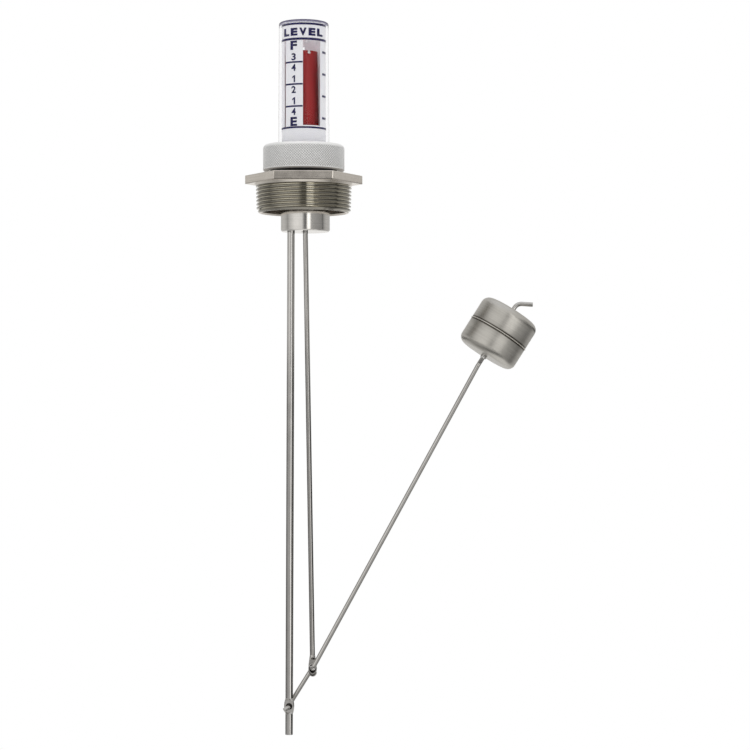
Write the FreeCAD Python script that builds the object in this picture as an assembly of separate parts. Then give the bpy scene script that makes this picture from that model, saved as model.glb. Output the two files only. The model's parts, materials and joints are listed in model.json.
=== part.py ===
import FreeCAD, Part
import math
import os
from FreeCAD import Vector

# Tank gauge, millimetres. Z is the axis of the tank thread, upwards, with zero at the underside
# of the hex. X points to the side on which the float hangs, and Y away from the scale's front.

# Hex bushing
hex_across_flats = 64.2
hex_thickness = 5.4
hex_edge_break = 0.25
hex_turn = 1.8               # degrees from the float's side to the first corner
land_radius = 30.16          # plain land between the hex and the thread
land_length = 0.6
thread_pitch = 2.309
thread_turns = 7
thread_depth = 1.5
thread_crest_flat = 0.45
thread_taper = 0.03125       # radius lost for each millimetre of length
thread_lead = 1.5            # run-out chamfer at the thread's end
skirt_wall = 3.1             # from the thread's crest to the hollow underside
plate_thickness = 6.0        # metal round the hub's neck

# Hub
neck_radius = 17.0           # screwed length in the bushing's plate
neck_clearance = 0.1
neck_tail = 0.8              # neck showing below the plate
boss_radius = 15.4
boss_x = 1.0                 # the boss stands off the thread's axis, towards the float
boss_drop = 30.0             # boss bottom below the hex
boss_edge_break = 0.7
hub_bore_radius = 12.7
hub_floor = 8.0
hub_thread_step = 1.4        # ring thread on the flange, outside the cap's flange
hub_flange_height = 8.7
gasket_inset = 0.9           # gasket's edge inside the hub's flange
gasket_thickness = 2.9
gasket_clearance = 0.2

# Sight cap and its seal
cap_radius = 16.1            # outside, at the foot
cap_draft = 0.5              # radius lost from foot to crown
cap_wall = 1.5
cap_height = 83.2            # from the flange's underside
cap_crown = 1.6
cap_crown_round = 1.2
cap_flange_radius = 20.4
cap_flange_thickness = 3.0
seal_thickness = 1.2
seal_clearance = 0.6         # seal's bore round the scale sleeve

# Knurled lock ring
ring_radius = 25.7
ring_height = 16.4
ring_lip = 3.2
ring_shoulder_round = 2.4
ring_foot_break = 0.8
ring_lip_clearance = 0.35
ring_thread_clearance = 0.1

# Scale sleeve and its print
sleeve_radius = 13.85
sleeve_wall = 0.4
sleeve_top_clearance = 0.3
window_start = 0.0           # degrees from the front, towards the float's side
window_end = 48.5
side_window_start = 124.0
side_window_end = 130.0
scale_faces = 2              # the same scale, read from the front and from the back
ink_thickness = 0.15
full_height = 72.3           # full line above the sleeve's foot
empty_height = 17.2
header_line = 1.4
top_line = 1.2
top_margin = 0.2
foot_line = 1.1
quarter_bar = 1.0
bar_margin = 0.8             # degrees kept clear at a bar's ends
eighth_tick = 1.3
tick_start = 56.0
tick_end = 74.0

# Linkage, in the plane of the two rods
press_ramp = 1.2             # length over which the press squeezes a rod flat
support_rod_x = -9.2
support_rod_radius = 2.38
support_lean = 0.227         # degrees, the rod's top towards the float
support_seat_depth = 6.0
pivot_drop = 328.7           # eye of the support rod below the hex
support_tail = 17.9          # rod below its eye
support_eye_half_width = 3.2
support_eye_half_height = 5.0
support_eye_thickness = 3.2
support_eye_hole = 2.1
pivot_clearance = 0.1
arm_wire_radius = 1.4
crank_length = 28.7
crank_angle = 32.0           # from upright
crank_plane_y = 3.6          # the crank runs behind the rods
arm_plane_y = -3.6           # the arm runs in front of them
pin_play = 0.3               # straight pin standing proud of the support rod's eye
hook_angle = 60.0            # pin's end bent over, from the pin's axis
hook_azimuth = 210.0         # which way it is bent, from the float's side
hook_length = 3.2
wire_bend_radius = 2.2
arm_length = 216.9
arm_angle = 28.6
float_axis_angle = 32.5
float_lean = 2.6             # degrees, the float's top away from the front

# Operating rod
operating_rod_radius = 1.59
rod_tip_radius = 0.95        # turned-down end, bent over in the indicator's crown
guide_x = 1.0                # where the rod leaves the boss
guide_clearance = 0.15
rod_eye_half_width = 2.6
rod_eye_half_height = 5.4
rod_eye_thickness = 1.6
rod_eye_clearance = 0.25
rod_eye_flare = 23.0         # degrees, above and below the mouth's axis
flat_ramp = 3.0              # length over which the eye's width runs out into the rod
rod_top_bend = 3.2
rod_top_azimuth = 29.0

# Indicator
reading_height = 82.8        # indicator's top above the hex's underside
indicator_radius = 9.5
indicator_wall = 1.2
indicator_crown = 4.8
indicator_foot_clearance = 3.5
groove_clearance = 0.15
tip_inset = 0.3
push_nut_radius = 3.4
push_nut_thickness = 1.0
push_nut_clearance = 0.05

# Float
float_radius = 19.55
float_height = 32.8
float_edge_round = 4.8
float_wall = 0.7
bead_half_width = 0.65
bead_height = 0.5
tube_radius = 1.95
tube_clearance = 0.1
tube_stub = 2.0
tube_lip = 0.6
float_play = 0.25
ear_length = 4.0
ear_half_width = 1.85
ear_thickness = 1.6
kink_run = 1.5               # straight wire below the ears
tip_rise = 2.0               # straight wire above the tube, before the bend
tip_bend_radius = 5.0
tip_angle = 94.0
tip_length = 9.8

# Heights and radii of the stack
full_circle = 360.0
front_azimuth = 270.0
hub_flange_radius = cap_flange_radius + hub_thread_step
gasket_radius = hub_flange_radius - gasket_inset
hex_top = hex_thickness
plate_bottom = hex_top - plate_thickness
skirt_bottom = -(land_length + round(thread_turns) * thread_pitch + thread_lead)
flange_bottom = hex_top + gasket_thickness
flange_top = flange_bottom + hub_flange_height
cap_foot = flange_top + seal_thickness
cap_flange_top = cap_foot + cap_flange_thickness
cap_top = cap_foot + cap_height
cap_ceiling = cap_top - cap_crown
cap_top_radius = cap_radius - cap_draft
ring_top = cap_flange_top + ring_lip
ring_foot = ring_top - ring_height
boss_bottom = -boss_drop
floor_top = boss_bottom + hub_floor
sleeve_top = cap_ceiling - sleeve_top_clearance
full_line_z = flange_top + full_height
empty_line_z = flange_top + empty_height
full_mark_z = full_line_z - header_line / 2
empty_mark_z = empty_line_z - foot_line / 2
quarter_step = (full_mark_z - empty_mark_z) / 4

# Points of the linkage
pivot_z = -pivot_drop
pin_offset = (support_eye_hole - arm_wire_radius - pivot_clearance) / math.sqrt(2)
pivot = Vector(support_rod_x - pin_offset, 0, pivot_z - pin_offset)
crank_run = crank_length * math.sin(math.radians(crank_angle))
crank_rise = crank_length * math.cos(math.radians(crank_angle))
crank_pin = pivot + Vector(crank_run, 0, crank_rise)
hook_corner = pivot - Vector(0, support_eye_thickness / 2 + pin_play
                             + wire_bend_radius * math.tan(math.radians(hook_angle) / 2), 0)
hook_side = math.sin(math.radians(hook_angle))
hook_axis = Vector(hook_side * math.cos(math.radians(hook_azimuth)),
                   -math.cos(math.radians(hook_angle)),
                   hook_side * math.sin(math.radians(hook_azimuth)))
stroke = 2 * crank_rise
rod_lean = math.atan2(crank_pin.x - guide_x, boss_bottom - crank_pin.z)

# The float's axis and the stations along it, from the float's centre
float_upright = math.cos(math.radians(float_lean))
float_axis = Vector(float_upright * math.sin(math.radians(float_axis_angle)),
                    math.sin(math.radians(float_lean)),
                    float_upright * math.cos(math.radians(float_axis_angle)))
arm_axis = Vector(math.sin(math.radians(arm_angle)), 0, math.cos(math.radians(arm_angle)))
tip_axis = Vector(math.sin(math.radians(tip_angle)), 0, math.cos(math.radians(tip_angle)))
tube_foot = -(float_height / 2 + tube_stub)
tube_top = float_height / 2 + tube_lip
ear_top = tube_foot - float_play
kink_station = ear_top - ear_length - kink_run
tip_tangent = tip_bend_radius * math.tan(math.radians(tip_angle - float_axis_angle) / 2)
tip_station = tube_top + float_play + tip_rise + tip_tangent
kink_point = crank_pin + arm_axis * arm_length + Vector(0, arm_plane_y, 0)
float_centre = kink_point - float_axis * kink_station

origin = Vector(0, 0, 0)
axis_x = Vector(1, 0, 0)
axis_y = Vector(0, 1, 0)
axis_z = Vector(0, 0, 1)


def cylinder(radius, low, high):
    return Part.makeCylinder(radius, high - low, Vector(0, 0, low), axis_z)


def tube(outer, inner, low, high):
    return cylinder(outer, low, high).cut(cylinder(inner, low, high))


def turned(edges):
    """A solid of revolution about Z from a closed chain of edges in the XZ plane."""
    face = Part.Face(Part.Wire(edges))
    return face.revolve(origin, axis_z, full_circle)


def lines(points):
    """Straight edges through radius and height pairs."""
    places = [Vector(radius, 0, height) for radius, height in points]
    return [Part.makeLine(start, end) for start, end in zip(places, places[1:])]


def turned_outline(points):
    return turned(lines(points + points[:1]))


def sector(radius, low, high, start, end):
    """A wedge between two azimuths, counted from the front."""
    wedge = Part.makeCylinder(radius, high - low, Vector(0, 0, low), axis_z, end - start)
    wedge.rotate(origin, axis_z, front_azimuth + start)
    return wedge


def circle_edges(shape, radius, height):
    """The rim of a given radius at a given height."""
    found = []
    for edge in shape.Edges:
        curve = edge.Curve
        if not isinstance(curve, Part.Circle):
            continue
        same_radius = math.isclose(curve.Radius, radius, abs_tol=1e-6)
        same_height = math.isclose(curve.Center.z, height, abs_tol=1e-6)
        if same_radius and same_height:
            found.append(edge)
    return found


def bent_wire(points, bends, radius):
    """Round wire along straight runs joined by tangent bends, one bend radius for each inner point."""
    edges = []
    start = points[0]
    for before, corner, after, bend in zip(points, points[1:], points[2:], bends):
        inward = (before - corner).normalize()
        outward = (after - corner).normalize()
        half_turn = (math.pi - inward.getAngle(outward)) / 2
        reach = bend * math.tan(half_turn)
        bend_start = corner + inward * reach
        bend_end = corner + outward * reach
        towards_centre = (inward + outward).normalize()
        middle = corner + towards_centre * (bend / math.cos(half_turn) - bend)
        edges.append(Part.makeLine(start, bend_start))
        edges.append(Part.Arc(bend_start, middle, bend_end).toShape())
        start = bend_end
    edges.append(Part.makeLine(start, points[-1]))
    path = Part.Wire(edges)
    section = Part.Wire(Part.makeCircle(radius, points[0], points[1] - points[0]))
    return path.makePipeShell([section], True, True)


def flattened(rod, full_half, flat_half, ramp_top, flat_top, flat_bottom, ramp_bottom):
    """Both broad sides of a rod pressed flat between four heights."""
    for side in (1, -1):
        outline = [
            Vector(0, side * full_half, ramp_top),
            Vector(0, side * flat_half, flat_top),
            Vector(0, side * flat_half, flat_bottom),
            Vector(0, side * full_half, ramp_bottom),
            Vector(0, side * 2 * full_half, ramp_bottom),
            Vector(0, side * 2 * full_half, ramp_top),
        ]
        face = Part.Face(Part.makePolygon(outline + outline[:1]))
        pressed = face.extrude(axis_x * (4 * full_half))
        pressed.translate(axis_x * (-2 * full_half))
        rod = rod.cut(pressed)
    return rod


def lean_on_rod(shape):
    """From the operating rod's own upright frame, zero at the crank pin, to its place."""
    shape.rotate(origin, axis_y, -math.degrees(rod_lean))
    shape.translate(crank_pin)
    return shape


def lean_on_eye(shape):
    """From the support rod's own upright frame to its place, leaning about its eye."""
    shape.rotate(Vector(0, 0, pivot_z), axis_y, support_lean)
    shape.translate(Vector(support_rod_x, 0, 0))
    return shape


def along_float(shape):
    """From the float's own upright frame, zero at its centre, to its place."""
    shape.rotate(origin, axis_x, -float_lean)
    shape.rotate(origin, axis_y, float_axis_angle)
    shape.translate(float_centre)
    return shape


def make_hex_bushing():
    corner_radius = hex_across_flats / math.sqrt(3)
    corners = []
    for step in range(7):
        angle = math.radians(60 * step + hex_turn)
        corners.append(Vector(corner_radius * math.cos(angle), corner_radius * math.sin(angle), 0))
    hexagon = Part.Face(Part.makePolygon(corners)).extrude(Vector(0, 0, hex_thickness))
    hexagon = hexagon.makeChamfer(hex_edge_break, hexagon.Edges)

    def crest(height):
        return land_radius + thread_taper * (height + land_length)

    groove_half = (thread_pitch - thread_crest_flat) / 2
    height = -land_length
    profile = [(land_radius, hex_top / 2), (land_radius, height)]
    for turn in range(round(thread_turns)):
        profile.append((crest(height - groove_half) - thread_depth, height - groove_half))
        profile.append((crest(height - 2 * groove_half), height - 2 * groove_half))
        profile.append((crest(height - thread_pitch), height - thread_pitch))
        height -= thread_pitch
    hollow_radius = crest(skirt_bottom) - skirt_wall
    bore_radius = neck_radius + neck_clearance
    profile.append((crest(skirt_bottom) - thread_lead, skirt_bottom))
    profile.append((hollow_radius, skirt_bottom))
    profile.append((hollow_radius, plate_bottom))
    profile.append((bore_radius, plate_bottom))
    profile.append((bore_radius, hex_top / 2))
    plate = hexagon.cut(cylinder(bore_radius, plate_bottom, hex_top + plate_thickness))
    return plate.fuse(turned_outline(profile)).removeSplitter()


def make_gauge_hub():
    neck_bottom = plate_bottom - neck_tail
    hub = turned_outline([
        (hub_flange_radius, flange_top),
        (hub_flange_radius, flange_bottom),
        (neck_radius, flange_bottom),
        (neck_radius, neck_bottom),
        (0, neck_bottom),
        (0, flange_top),
    ])
    boss = turned_outline([
        (boss_radius, flange_bottom),
        (boss_radius, boss_bottom + boss_edge_break),
        (boss_radius - boss_edge_break, boss_bottom),
        (0, boss_bottom),
        (0, flange_bottom),
    ])
    boss.translate(Vector(boss_x, 0, 0))
    hub = hub.fuse(boss).cut(cylinder(hub_bore_radius, floor_top, flange_top)).removeSplitter()
    drift = stroke * math.tan(rod_lean)
    floor_slant = hub_floor * math.tan(rod_lean)
    guide_radius = operating_rod_radius + (drift + floor_slant) / 2 + guide_clearance
    guide = cylinder(guide_radius, boss_bottom, floor_top)
    guide.translate(Vector(guide_x - (drift + floor_slant) / 2, 0, 0))
    seat_top = boss_bottom + support_seat_depth
    seat = lean_on_eye(cylinder(support_rod_radius, boss_bottom - support_seat_depth, seat_top))
    return hub.cut(guide).cut(seat)


def make_bushing_gasket():
    return tube(gasket_radius, neck_radius + gasket_clearance, hex_top, flange_bottom)


def make_cap_gasket():
    return tube(cap_flange_radius, sleeve_radius + seal_clearance, flange_top, cap_foot)


def make_sight_cap():
    cap = turned_outline([
        (cap_flange_radius, cap_foot),
        (cap_flange_radius, cap_flange_top),
        (cap_radius, cap_flange_top),
        (cap_top_radius, cap_top),
        (0, cap_top),
        (0, cap_ceiling),
        (cap_top_radius - cap_wall, cap_ceiling),
        (cap_radius - cap_wall, cap_foot),
    ])
    return cap.makeFillet(cap_crown_round, circle_edges(cap, cap_top_radius, cap_top))


def make_lock_ring():
    lip_radius = cap_radius + ring_lip_clearance
    bore_radius = hub_flange_radius + ring_thread_clearance
    ring = turned_outline([
        (ring_radius, ring_foot + ring_foot_break),
        (ring_radius, ring_top),
        (lip_radius, ring_top),
        (lip_radius, cap_flange_top),
        (bore_radius, cap_flange_top),
        (bore_radius, ring_foot),
        (ring_radius - ring_foot_break, ring_foot),
    ])
    return ring.makeFillet(ring_shoulder_round, circle_edges(ring, ring_radius, ring_top))


def scale_turns():
    return [full_circle / scale_faces * face for face in range(round(scale_faces))]


def window_heights():
    return empty_line_z + foot_line / 2, full_line_z - header_line / 2


def make_scale_sleeve():
    sleeve = tube(sleeve_radius, sleeve_radius - sleeve_wall, flange_top, sleeve_top)
    low, high = window_heights()
    for turn in scale_turns():
        sleeve = sleeve.cut(sector(2 * sleeve_radius, low, high, turn + window_start, turn + window_end))
        sleeve = sleeve.cut(sector(2 * sleeve_radius, low, high, turn + side_window_start, turn + side_window_end))
    return sleeve


def make_scale_marks():
    ink_radius = sleeve_radius + ink_thickness

    def band(centre, width):
        return tube(ink_radius, sleeve_radius, centre - width / 2, centre + width / 2)

    marks = [
        band(sleeve_top - top_margin - top_line / 2, top_line),
        band(full_line_z, header_line),
        band(empty_line_z, foot_line),
    ]
    panel_start = side_window_end - full_circle / scale_faces
    for turn in scale_turns():
        for quarter in (1, 2, 3):
            bar = band(empty_mark_z + quarter * quarter_step, quarter_bar)
            bar_start = turn + panel_start + bar_margin
            bar_end = turn + window_start - bar_margin
            low = bar.BoundBox.ZMin
            high = bar.BoundBox.ZMax
            marks.append(bar.common(sector(2 * ink_radius, low, high, bar_start, bar_end)))
        for eighth in (1, 3, 5, 7):
            tick = band(empty_mark_z + eighth * quarter_step / 2, eighth_tick)
            low = tick.BoundBox.ZMin
            high = tick.BoundBox.ZMax
            marks.append(tick.common(sector(2 * ink_radius, low, high, turn + tick_start, turn + tick_end)))
    return Part.Compound([solid for mark in marks for solid in mark.Solids])


def indicator_span():
    """Foot, crown underside and top of the indicator, along the operating rod from the crank pin."""
    top = (reading_height - crank_pin.z) / math.cos(rod_lean)
    foot = (floor_top + stroke + indicator_foot_clearance - crank_pin.z) / math.cos(rod_lean)
    return foot, top - indicator_crown, top


def rod_top_path():
    """The centre line of the operating rod's end, bent over into the groove of the indicator's crown."""
    foot, crown_foot, top = indicator_span()
    leg_height = top - rod_tip_radius - groove_clearance
    azimuth = math.radians(front_azimuth + rod_top_azimuth)
    reach = indicator_radius - tip_inset
    tip = Vector(reach * math.cos(azimuth), reach * math.sin(azimuth), leg_height)
    return [Vector(0, 0, rod_eye_half_height + flat_ramp), Vector(0, 0, leg_height), tip]


def make_level_indicator():
    foot, crown_foot, top = indicator_span()
    inside_radius = indicator_radius - indicator_wall
    shell = turned_outline([
        (indicator_radius, foot),
        (indicator_radius, top),
        (0, top),
        (0, crown_foot),
        (inside_radius, crown_foot),
        (inside_radius, foot),
    ])
    groove_radius = rod_tip_radius + groove_clearance
    rod_start, corner, tip = rod_top_path()
    beyond = corner + (tip - corner) * 2
    shell = shell.cut(bent_wire([rod_start, corner, beyond], [rod_top_bend], groove_radius))
    slot = Part.makeBox(2 * indicator_radius, 2 * groove_radius, indicator_crown)
    slot.translate(Vector(0, -groove_radius, corner.z))
    slot.rotate(origin, axis_z, front_azimuth + rod_top_azimuth)
    return lean_on_rod(shell.cut(slot))


def make_push_nut():
    foot, crown_foot, top = indicator_span()
    bore = operating_rod_radius + push_nut_clearance
    return lean_on_rod(tube(push_nut_radius, bore, crown_foot - push_nut_thickness, crown_foot))


def make_operating_rod():
    eye_top = rod_eye_half_height
    round_top = eye_top + flat_ramp
    centre = Vector(0, 0, rod_eye_half_width - rod_eye_half_height)
    foot = Vector(0, 0, -rod_eye_half_height)
    side = Vector(rod_eye_half_width, 0, centre.z)
    quarter = math.sqrt(0.5) * rod_eye_half_width
    round_foot = Part.Arc(foot, centre + Vector(quarter, 0, -quarter), side).toShape()
    upper = lines([
        (rod_eye_half_width, centre.z),
        (rod_eye_half_width, eye_top - flat_ramp),
        (operating_rod_radius, round_top),
        (0, round_top),
        (0, -rod_eye_half_height),
    ])
    eye = turned([round_foot] + upper)
    below = -2 * rod_eye_half_height
    full_half = 2 * rod_eye_half_width
    flat_half = rod_eye_thickness / 2
    ramp_top = eye_top + press_ramp * (full_half - flat_half) / (operating_rod_radius - flat_half)
    eye = flattened(eye, full_half, flat_half, ramp_top, eye_top, below, below)

    # The eye is open on the float's side, with its jaws flared along the crank pin's way out.
    hole_radius = arm_wire_radius + rod_eye_clearance
    hole = Part.makeCylinder(hole_radius, 2 * rod_eye_thickness, Vector(0, -rod_eye_thickness, 0), axis_y)
    mouth_reach = 2 * rod_eye_half_width
    mouth_half = hole_radius + mouth_reach * math.tan(math.radians(rod_eye_flare))
    mouth = [
        Vector(0, -rod_eye_thickness, hole_radius),
        Vector(mouth_reach, -rod_eye_thickness, mouth_half),
        Vector(mouth_reach, -rod_eye_thickness, -mouth_half),
        Vector(0, -rod_eye_thickness, -hole_radius),
    ]
    mouth_cut = Part.Face(Part.makePolygon(mouth + mouth[:1])).extrude(axis_y * (2 * rod_eye_thickness))
    eye = eye.cut(hole).cut(mouth_cut)
    foot, crown_foot, top = indicator_span()
    shank = cylinder(operating_rod_radius, round_top, crown_foot)
    tip = bent_wire(rod_top_path(), [rod_top_bend], rod_tip_radius)
    return lean_on_rod(shank.fuse(tip).fuse(eye).removeSplitter())


def make_support_rod():
    seat_top = boss_bottom + support_seat_depth
    rod_bottom = pivot_z - support_tail
    eye_top = pivot_z + support_eye_half_height
    eye_bottom = pivot_z - support_eye_half_height
    bulge = Part.Arc(
        Vector(support_rod_radius, 0, eye_top),
        Vector(support_eye_half_width, 0, pivot_z),
        Vector(support_rod_radius, 0, eye_bottom),
    ).toShape()
    below = lines([(support_rod_radius, eye_bottom), (support_rod_radius, rod_bottom), (0, rod_bottom)])
    above = lines([(0, rod_bottom), (0, seat_top), (support_rod_radius, seat_top), (support_rod_radius, eye_top)])
    rod = turned([bulge] + below + above)
    flat_half = support_eye_thickness / 2
    flat_reach = support_eye_half_height - press_ramp
    full_half = 2 * support_eye_half_width
    ramp_reach = flat_reach + press_ramp * (full_half - flat_half) / (support_rod_radius - flat_half)
    rod = flattened(
        rod, full_half, flat_half,
        pivot_z + ramp_reach, pivot_z + flat_reach, pivot_z - flat_reach, pivot_z - ramp_reach,
    )
    hole_start = Vector(0, -support_eye_half_width, pivot_z)
    rod = rod.cut(Part.makeCylinder(support_eye_hole, 2 * support_eye_half_width, hole_start, axis_y))
    return lean_on_eye(rod)


def make_float_arm():
    behind = Vector(0, crank_plane_y, 0)
    in_front = Vector(0, arm_plane_y, 0)
    tip_corner = float_centre + float_axis * tip_station
    points = [
        hook_corner + hook_axis * hook_length,
        hook_corner,
        pivot + behind,
        crank_pin + behind,
        crank_pin + in_front,
        kink_point,
        tip_corner,
        tip_corner + tip_axis * tip_length,
    ]
    bends = [wire_bend_radius] * 4 + [tip_bend_radius] * 2
    arm = bent_wire(points, bends, arm_wire_radius)
    ears = Part.makeBox(ear_thickness, 2 * ear_half_width, ear_length)
    ears.translate(Vector(-ear_thickness / 2, -ear_half_width, ear_top - ear_length))
    return arm.fuse(along_float(ears)).removeSplitter()


def float_cup_edges(side):
    """Closed outline of one drawn cup, from the seam to the float's end, walls inside."""
    end = side * float_height / 2
    inner_end = end - side * float_wall
    inner_radius = float_radius - float_wall
    inner_round = float_edge_round - float_wall
    diagonal = math.sqrt(0.5)
    centre = Vector(float_radius - float_edge_round, 0, end - side * float_edge_round)

    def rounded(radius):
        start = centre + Vector(radius, 0, 0)
        middle = centre + Vector(radius * diagonal, 0, side * radius * diagonal)
        return start, middle, centre + Vector(0, 0, side * radius)

    outer = Part.Arc(*rounded(float_edge_round)).toShape()
    inner = Part.Arc(*rounded(inner_round)).toShape()
    return (
        lines([(float_radius, 0), (float_radius, centre.z)])
        + [outer]
        + lines([(centre.x, end), (tube_radius, end), (tube_radius, inner_end), (centre.x, inner_end)])
        + [inner]
        + lines([(inner_radius, centre.z), (inner_radius, 0), (float_radius, 0)])
    )


def make_float_upper_cup():
    return along_float(turned(float_cup_edges(1)))


def make_float_lower_cup():
    cup = turned(float_cup_edges(-1))
    bead_low = Vector(float_radius, 0, -bead_half_width)
    bead_high = Vector(float_radius, 0, bead_half_width)
    crown = Part.Arc(bead_low, Vector(float_radius + bead_height, 0, 0), bead_high).toShape()
    bead = turned([crown, Part.makeLine(bead_high, bead_low)])
    return along_float(cup.fuse(bead).removeSplitter())


def make_float_tube():
    return along_float(tube(tube_radius, arm_wire_radius + tube_clearance, tube_foot, tube_top))


makers = {
    "hex_bushing": make_hex_bushing,
    "bushing_gasket": make_bushing_gasket,
    "gauge_hub": make_gauge_hub,
    "cap_gasket": make_cap_gasket,
    "sight_cap": make_sight_cap,
    "lock_ring": make_lock_ring,
    "scale_sleeve": make_scale_sleeve,
    "scale_marks": make_scale_marks,
    "level_indicator": make_level_indicator,
    "push_nut": make_push_nut,
    "operating_rod": make_operating_rod,
    "support_rod": make_support_rod,
    "float_arm": make_float_arm,
    "float_upper_cup": make_float_upper_cup,
    "float_lower_cup": make_float_lower_cup,
    "float_tube": make_float_tube,
}

os.makedirs("parts", exist_ok=True)
for node, make in makers.items():
    shape = make()
    print(node, shape.isValid(), len(shape.Solids), round(shape.Volume, 2))
    shape.exportStep("parts/" + node + ".step")
print("pivot", pivot, "crank pin", crank_pin, "float centre", float_centre)
print("stroke", stroke, "swing", 180 - 2 * crank_angle, "rod lean", math.degrees(rod_lean))
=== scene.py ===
import json
import math

import bmesh
import bpy
from mathutils import Matrix, Vector


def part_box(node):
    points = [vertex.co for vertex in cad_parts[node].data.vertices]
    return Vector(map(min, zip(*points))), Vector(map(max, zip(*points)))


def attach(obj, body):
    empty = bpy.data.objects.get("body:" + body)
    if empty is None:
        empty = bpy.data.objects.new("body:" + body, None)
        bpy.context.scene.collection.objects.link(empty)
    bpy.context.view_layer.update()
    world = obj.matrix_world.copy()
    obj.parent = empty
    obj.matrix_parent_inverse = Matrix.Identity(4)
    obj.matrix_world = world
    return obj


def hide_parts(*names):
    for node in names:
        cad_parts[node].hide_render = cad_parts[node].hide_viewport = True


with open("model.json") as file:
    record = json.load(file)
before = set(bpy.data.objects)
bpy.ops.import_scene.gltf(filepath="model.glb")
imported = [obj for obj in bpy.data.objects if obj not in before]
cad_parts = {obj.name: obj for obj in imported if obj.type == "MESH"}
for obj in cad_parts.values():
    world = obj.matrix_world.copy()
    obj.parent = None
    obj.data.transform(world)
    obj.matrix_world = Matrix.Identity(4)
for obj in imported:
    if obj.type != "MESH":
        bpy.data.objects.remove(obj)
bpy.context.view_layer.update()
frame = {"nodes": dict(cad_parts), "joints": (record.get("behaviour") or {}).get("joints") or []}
nodes = frame["nodes"]
scene = bpy.context.scene
mm = 0.001
print("frame loaded:", len(nodes), "nodes")


# a node's corners at rest, in millimetres
def span(node):
    low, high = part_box(node)
    return low / mm, high / mm


def jointNamed(name):
    return next(joint for joint in frame["joints"] if joint["name"] == name)


# camera, at the photograph's viewing angle
cameraPlan = {"place": (0.04486, -1.2, -0.1202), "lens": 91.43, "sensor": 36.0}

cameraData = bpy.data.cameras.new("gaugeCamera")
cameraData.lens = cameraPlan["lens"]
cameraData.sensor_width = cameraPlan["sensor"]
camera = bpy.data.objects.new("gaugeCamera", cameraData)
camera.location = cameraPlan["place"]
camera.rotation_euler = (math.pi / 2, 0, 0)
scene.collection.objects.link(camera)
scene.camera = camera
print("camera set")


# one socket of a node tree, with arithmetic
class Wire:
    def __init__(self, tree, socket=None):
        self.tree = tree
        self.socket = socket

    def node(self, kind, settings=None, sockets=None, out=0):
        made = self.tree.nodes.new(kind)
        for key, value in (settings or {}).items():
            if key == "stops":
                self.setStops(made.color_ramp, value)
            else:
                setattr(made, key, value)
        for key, value in (sockets or {}).items():
            if isinstance(value, Wire):
                self.tree.links.new(value.socket, made.inputs[key])
            else:
                made.inputs[key].default_value = value
        return Wire(self.tree, made.outputs[out] if made.outputs else None)

    def setStops(self, ramp, stops):
        while len(ramp.elements) < len(stops):
            ramp.elements.new(1.0)
        for element, (place, tone) in zip(ramp.elements, stops):
            element.position = place
            element.color = (*tone, 1.0)

    def math(self, operation, first, second):
        return self.node("ShaderNodeMath", {"operation": operation}, {0: first, 1: second})

    def __add__(self, other):
        return self.math("ADD", self, other)

    def __radd__(self, other):
        return self.math("ADD", other, self)

    def __sub__(self, other):
        return self.math("SUBTRACT", self, other)

    def __rsub__(self, other):
        return self.math("SUBTRACT", other, self)

    def __mul__(self, other):
        return self.math("MULTIPLY", self, other)

    def __rmul__(self, other):
        return self.math("MULTIPLY", other, self)

    def __pow__(self, other):
        return self.math("POWER", self, other)

    def step(self, low, high):
        return self.node("ShaderNodeMapRange", {"interpolation_type": "SMOOTHSTEP"},
                         {"Value": self, "From Min": low, "From Max": high})

    def largest(self, other):
        return self.math("MAXIMUM", self, other)

    def blend(self, low, high):
        return self.node("ShaderNodeMix", {"data_type": "RGBA"}, {0: self, 6: low, 7: high}, 2)

    def stretched(self, scale, turn=(0, 0, 0)):
        return self.node("ShaderNodeMapping", {"vector_type": "POINT"},
                         {"Vector": self, "Scale": scale, "Rotation": turn})

    def noise(self, scale, detail, roughness):
        return self.node("ShaderNodeTexNoise", {}, {"Vector": self, "Scale": scale, "Detail": detail,
                                                    "Roughness": roughness})

    # distance from the upright axis
    def reach(self):
        flat = self.node("ShaderNodeVectorMath", {"operation": "MULTIPLY"}, {0: self, 1: (1, 1, 0)})
        return self.node("ShaderNodeVectorMath", {"operation": "LENGTH"}, {0: flat}, "Value")

    def axes(self):
        parts = self.node("ShaderNodeSeparateXYZ", {}, {0: self}).socket.node
        return [Wire(self.tree, parts.outputs[axis]) for axis in "XYZ"]

    def bump(self, strength, distance, over=None):
        sockets = {"Height": self, "Strength": strength, "Distance": distance}
        if over:
            sockets["Normal"] = over
        return self.node("ShaderNodeBump", {}, sockets)


def colour(r, g, b):
    return (r, g, b, 1.0)


def startMaterial(name):
    material = bpy.data.materials.new(name)
    material.use_nodes = True
    tree = material.node_tree
    tree.nodes.clear()
    wire = Wire(tree)
    place = wire.node("ShaderNodeTexCoord", {}, {}, "Object")
    return material, wire, place


def endMaterial(wire, sockets):
    shader = wire.node("ShaderNodeBsdfPrincipled", {}, sockets)
    wire.node("ShaderNodeOutputMaterial", {}, {"Surface": shader})


def attribute(wire, name):
    return wire.node("ShaderNodeAttribute", {"attribute_name": name}, {}, "Fac")


# turned or drawn bright metal: fine lines along one stretch direction, soft stains, pits
metalPlan = {"lines": (4.0, 0.6), "cloud": (4.0, 0.55), "grain": (2.0, 0.7), "shares": (0.5, 0.35, 0.15),
             "contrast": (0.32, 0.68), "relief": 0.02}


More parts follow.
